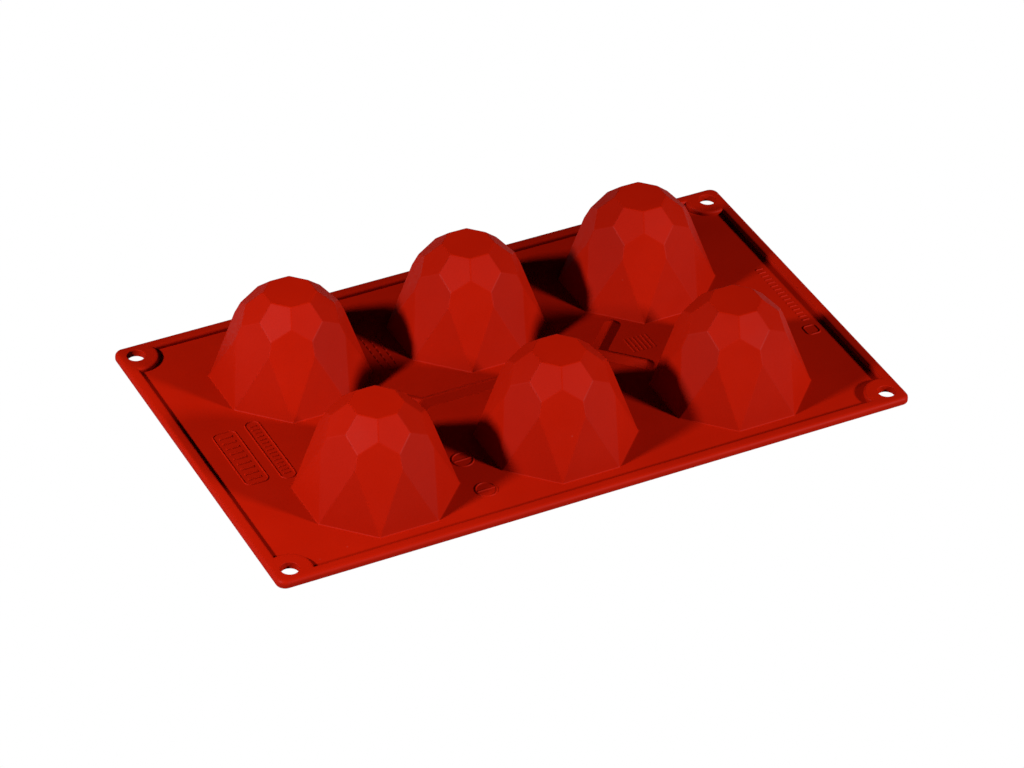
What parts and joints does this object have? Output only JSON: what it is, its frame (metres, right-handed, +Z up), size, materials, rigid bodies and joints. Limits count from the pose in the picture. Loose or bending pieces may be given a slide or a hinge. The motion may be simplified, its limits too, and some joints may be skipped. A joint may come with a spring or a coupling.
{
  "type": "resin casting mould",
  "caption": "Flat flexible casting mould with gem-shaped cups standing on a thin sheet, a raised rim, a forked stiffening rib and a hanging hole at each corner.",
  "frame": {"origin": "on the underside, at the middle of the sheet", "axes": "+X along the long side, +Y along the short side, +Z up through the cups, whose cavities open downwards"},
  "size_m": [0.3, 0.177, 0.045],
  "materials": {
    "silicone": "satin"
  },
  "bodies": {
    "root": {"web_sheet": "silicone", "rim_front": "silicone", "rim_right": "silicone", "rim_back": "silicone", "rim_left": "silicone", "corner_pad_front_left": "silicone", "corner_pad_front_right": "silicone", "corner_pad_back_right": "silicone", "corner_pad_back_left": "silicone", "cup_wall_back_left": "silicone", "cup_wall_back_middle": "silicone", "cup_wall_back_right": "silicone", "cup_wall_front_left": "silicone", "cup_wall_front_middle": "silicone", "cup_wall_front_right": "silicone", "cup_table_back_left": "silicone", "cup_table_back_middle": "silicone", "cup_table_back_right": "silicone", "cup_table_front_left": "silicone", "cup_table_front_middle": "silicone", "cup_table_front_right": "silicone", "stiffening_rib": "silicone", "label_frame_wide": "silicone", "label_frame_narrow": "silicone", "label_frame_square": "silicone", "label_bars_wide": "silicone", "label_bars_narrow": "silicone", "ring_mark_upper": "silicone", "ring_mark_lower": "silicone", "bar_marks": "silicone", "tick_marks": "silicone", "dash_marks": "silicone"}
  },
  "joints": []
}
